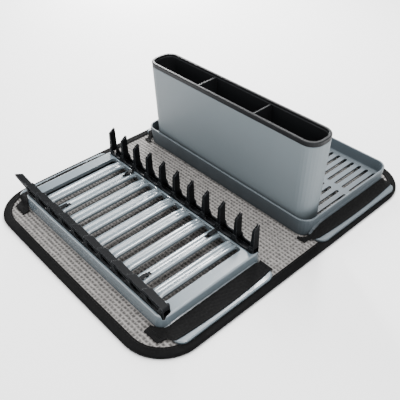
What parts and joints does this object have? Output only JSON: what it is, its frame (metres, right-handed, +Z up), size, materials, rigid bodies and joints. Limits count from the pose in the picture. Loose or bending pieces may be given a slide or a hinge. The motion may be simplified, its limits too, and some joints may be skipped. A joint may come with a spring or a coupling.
{
  "type": "dish drying rack",
  "caption": "Plate rack with two rows of folding tines, a slotted drain tray and a tall divided utensil caddy, strapped on a quilted drying mat.",
  "frame": {"origin": "centre of the mat's underside", "axes": "+X along the rows of tines, +Y from the plate rack to the drain tray, +Z up"},
  "size_m": [0.366, 0.462, 0.1406],
  "materials": {
    "grey_plastic": "satin",
    "tray_plastic": "satin",
    "sleeve_plastic": "satin",
    "black_plastic": "satin",
    "liner_plastic": "matt",
    "strap_fabric": "woven elastic",
    "pad_fabric": "waffle knit",
    "binding_fabric": "woven tape"
  },
  "bodies": {
    "mat_and_racks": {"mat_pad": "pad_fabric", "mat_binding": "binding_fabric", "plate_rack_frame": "grey_plastic", "tine_channel_front": "black_plastic", "tine_channel_back": "black_plastic", "drain_tray": "tray_plastic", "rack_strap_left": "strap_fabric", "rack_strap_right": "strap_fabric", "tray_strap_left": "strap_fabric", "tray_strap_right": "strap_fabric"},
    "caddy": {"caddy_sleeve": "sleeve_plastic"},
    "liner": {"caddy_liner": "liner_plastic"},
    "tine_front_01_body": {"tine_front_01": "black_plastic"},
    "tine_front_02_body": {"tine_front_02": "black_plastic"},
    "tine_front_03_body": {"tine_front_03": "black_plastic"},
    "tine_front_04_body": {"tine_front_04": "black_plastic"},
    "tine_front_05_body": {"tine_front_05": "black_plastic"},
    "tine_front_06_body": {"tine_front_06": "black_plastic"},
    "tine_front_07_body": {"tine_front_07": "black_plastic"},
    "tine_front_08_body": {"tine_front_08": "black_plastic"},
    "tine_front_09_body": {"tine_front_09": "black_plastic"},
    "tine_front_10_body": {"tine_front_10": "black_plastic"},
    "tine_front_11_body": {"tine_front_11": "black_plastic"},
    "tine_back_01_body": {"tine_back_01": "black_plastic"},
    "tine_back_02_body": {"tine_back_02": "black_plastic"},
    "tine_back_03_body": {"tine_back_03": "black_plastic"},
    "tine_back_04_body": {"tine_back_04": "black_plastic"},
    "tine_back_05_body": {"tine_back_05": "black_plastic"},
    "tine_back_06_body": {"tine_back_06": "black_plastic"},
    "tine_back_07_body": {"tine_back_07": "black_plastic"},
    "tine_back_08_body": {"tine_back_08": "black_plastic"},
    "tine_back_09_body": {"tine_back_09": "black_plastic"},
    "tine_back_10_body": {"tine_back_10": "black_plastic"},
    "tine_back_11_body": {"tine_back_11": "black_plastic"}
  },
  "joints": [
    {"name": "caddy_lift", "type": "slide", "parent": "mat_and_racks", "child": "caddy", "axis": [0, 0, 1], "range_m": [0, 0.15]},
    {"name": "liner_lift", "type": "slide", "parent": "caddy", "child": "liner", "axis": [0, 0, 1], "range_m": [0, 0.13]},
    {"name": "tine_front_01_fold", "type": "hinge", "parent": "mat_and_racks", "child": "tine_front_01_body", "pos_m": [-0.141, -0.18325, 0.033], "axis": [0, 1, 0], "range_deg": [0, 82]},
    {"name": "tine_front_02_fold", "type": "hinge", "parent": "mat_and_racks", "child": "tine_front_02_body", "pos_m": [-0.1128, -0.18325, 0.033], "axis": [0, 1, 0], "range_deg": [0, 82]},
    {"name": "tine_front_03_fold", "type": "hinge", "parent": "mat_and_racks", "child": "tine_front_03_body", "pos_m": [-0.0846, -0.18325, 0.033], "axis": [0, 1, 0], "range_deg": [0, 82]},
    {"name": "tine_front_04_fold", "type": "hinge", "parent": "mat_and_racks", "child": "tine_front_04_body", "pos_m": [-0.0564, -0.18325, 0.033], "axis": [0, 1, 0], "range_deg": [0, 82]},
    {"name": "tine_front_05_fold", "type": "hinge", "parent": "mat_and_racks", "child": "tine_front_05_body", "pos_m": [-0.0282, -0.18325, 0.033], "axis": [0, 1, 0], "range_deg": [0, 82]},
    {"name": "tine_front_06_fold", "type": "hinge", "parent": "mat_and_racks", "child": "tine_front_06_body", "pos_m": [0, -0.18325, 0.033], "axis": [0, 1, 0], "range_deg": [0, 82]},
    {"name": "tine_front_07_fold", "type": "hinge", "parent": "mat_and_racks", "child": "tine_front_07_body", "pos_m": [0.0282, -0.18325, 0.033], "axis": [0, 1, 0], "range_deg": [0, 82]},
    {"name": "tine_front_08_fold", "type": "hinge", "parent": "mat_and_racks", "child": "tine_front_08_body", "pos_m": [0.0564, -0.18325, 0.033], "axis": [0, 1, 0], "range_deg": [0, 82]},
    {"name": "tine_front_09_fold", "type": "hinge", "parent": "mat_and_racks", "child": "tine_front_09_body", "pos_m": [0.0846, -0.18325, 0.033], "axis": [0, 1, 0], "range_deg": [0, 82]},
    {"name": "tine_front_10_fold", "type": "hinge", "parent": "mat_and_racks", "child": "tine_front_10_body", "pos_m": [0.1128, -0.18325, 0.033], "axis": [0, 1, 0], "range_deg": [0, 82]},
    {"name": "tine_front_11_fold", "type": "hinge", "parent": "mat_and_racks", "child": "tine_front_11_body", "pos_m": [0.141, -0.18325, 0.033], "axis": [0, 1, 0], "range_deg": [0, 82]},
    {"name": "tine_back_01_fold", "type": "hinge", "parent": "mat_and_racks", "child": "tine_back_01_body", "pos_m": [-0.141, -0.04775, 0.033], "axis": [0, -1, 0], "range_deg": [0, 82]},
    {"name": "tine_back_02_fold", "type": "hinge", "parent": "mat_and_racks", "child": "tine_back_02_body", "pos_m": [-0.1128, -0.04775, 0.033], "axis": [0, -1, 0], "range_deg": [0, 82]},
    {"name": "tine_back_03_fold", "type": "hinge", "parent": "mat_and_racks", "child": "tine_back_03_body", "pos_m": [-0.0846, -0.04775, 0.033], "axis": [0, -1, 0], "range_deg": [0, 82]},
    {"name": "tine_back_04_fold", "type": "hinge", "parent": "mat_and_racks", "child": "tine_back_04_body", "pos_m": [-0.0564, -0.04775, 0.033], "axis": [0, -1, 0], "range_deg": [0, 82]},
    {"name": "tine_back_05_fold", "type": "hinge", "parent": "mat_and_racks", "child": "tine_back_05_body", "pos_m": [-0.0282, -0.04775, 0.033], "axis": [0, -1, 0], "range_deg": [0, 82]},
    {"name": "tine_back_06_fold", "type": "hinge", "parent": "mat_and_racks", "child": "tine_back_06_body", "pos_m": [0, -0.04775, 0.033], "axis": [0, -1, 0], "range_deg": [0, 82]},
    {"name": "tine_back_07_fold", "type": "hinge", "parent": "mat_and_racks", "child": "tine_back_07_body", "pos_m": [0.0282, -0.04775, 0.033], "axis": [0, -1, 0], "range_deg": [0, 82]},
    {"name": "tine_back_08_fold", "type": "hinge", "parent": "mat_and_racks", "child": "tine_back_08_body", "pos_m": [0.0564, -0.04775, 0.033], "axis": [0, -1, 0], "range_deg": [0, 82]},
    {"name": "tine_back_09_fold", "type": "hinge", "parent": "mat_and_racks", "child": "tine_back_09_body", "pos_m": [0.0846, -0.04775, 0.033], "axis": [0, -1, 0], "range_deg": [0, 82]},
    {"name": "tine_back_10_fold", "type": "hinge", "parent": "mat_and_racks", "child": "tine_back_10_body", "pos_m": [0.1128, -0.04775, 0.033], "axis": [0, -1, 0], "range_deg": [0, 82]},
    {"name": "tine_back_11_fold", "type": "hinge", "parent": "mat_and_racks", "child": "tine_back_11_body", "pos_m": [0.141, -0.04775, 0.033], "axis": [0, -1, 0], "range_deg": [0, 82]}
  ],
  "couplings": [
    {"joint": "tine_front_02_fold", "follows": "tine_front_01_fold", "ratio": 1},
    {"joint": "tine_front_03_fold", "follows": "tine_front_01_fold", "ratio": 1},
    {"joint": "tine_front_04_fold", "follows": "tine_front_01_fold", "ratio": 1},
    {"joint": "tine_front_05_fold", "follows": "tine_front_01_fold", "ratio": 1},
    {"joint": "tine_front_06_fold", "follows": "tine_front_01_fold", "ratio": 1},
    {"joint": "tine_front_07_fold", "follows": "tine_front_01_fold", "ratio": 1},
    {"joint": "tine_front_08_fold", "follows": "tine_front_01_fold", "ratio": 1},
    {"joint": "tine_front_09_fold", "follows": "tine_front_01_fold", "ratio": 1},
    {"joint": "tine_front_10_fold", "follows": "tine_front_01_fold", "ratio": 1},
    {"joint": "tine_front_11_fold", "follows": "tine_front_01_fold", "ratio": 1},
    {"joint": "tine_back_02_fold", "follows": "tine_back_01_fold", "ratio": 1},
    {"joint": "tine_back_03_fold", "follows": "tine_back_01_fold", "ratio": 1},
    {"joint": "tine_back_04_fold", "follows": "tine_back_01_fold", "ratio": 1},
    {"joint": "tine_back_05_fold", "follows": "tine_back_01_fold", "ratio": 1},
    {"joint": "tine_back_06_fold", "follows": "tine_back_01_fold", "ratio": 1},
    {"joint": "tine_back_07_fold", "follows": "tine_back_01_fold", "ratio": 1},
    {"joint": "tine_back_08_fold", "follows": "tine_back_01_fold", "ratio": 1},
    {"joint": "tine_back_09_fold", "follows": "tine_back_01_fold", "ratio": 1},
    {"joint": "tine_back_10_fold", "follows": "tine_back_01_fold", "ratio": 1},
    {"joint": "tine_back_11_fold", "follows": "tine_back_01_fold", "ratio": 1}
  ]
}
